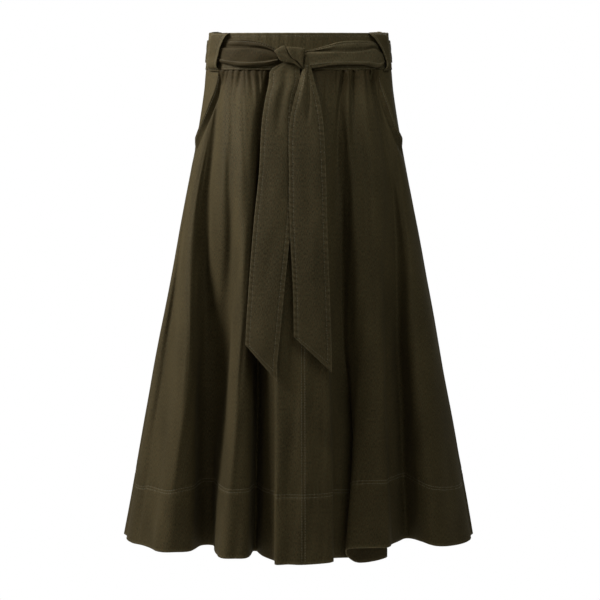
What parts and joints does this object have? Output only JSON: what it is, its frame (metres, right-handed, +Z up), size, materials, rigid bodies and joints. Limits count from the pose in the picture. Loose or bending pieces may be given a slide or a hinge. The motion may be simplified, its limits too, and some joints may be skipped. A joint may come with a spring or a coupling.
{
  "type": "a-line skirt",
  "caption": "Gathered A-line midi skirt with a faced waistband, elasticated back, slant pockets and a tied sash belt.",
  "frame": {"origin": "centre of the waist, half way up the waistband, where the wearer's waist holds the skirt", "axes": "+Z up along the wearer, the front faces -Y, +X to the right seen from the front"},
  "size_m": [0.5347, 0.4304, 0.7789],
  "materials": {
    "twill": "dark olive-brown cotton twill with a slight sheen",
    "belt_twill": "the same cotton twill, sewn double"
  },
  "bodies": {
    "root": {"front_left": "twill", "front_right": "twill", "back": "twill", "pocket_facing_left": "twill", "pocket_facing_right": "twill", "waistband_front": "twill", "waistband_back": "twill", "loop_left": "twill", "loop_right": "twill", "belt_back": "belt_twill", "belt_left": "belt_twill", "belt_right": "belt_twill", "belt_knot": "belt_twill", "tail_left": "belt_twill", "tail_right": "belt_twill"}
  },
  "joints": []
}
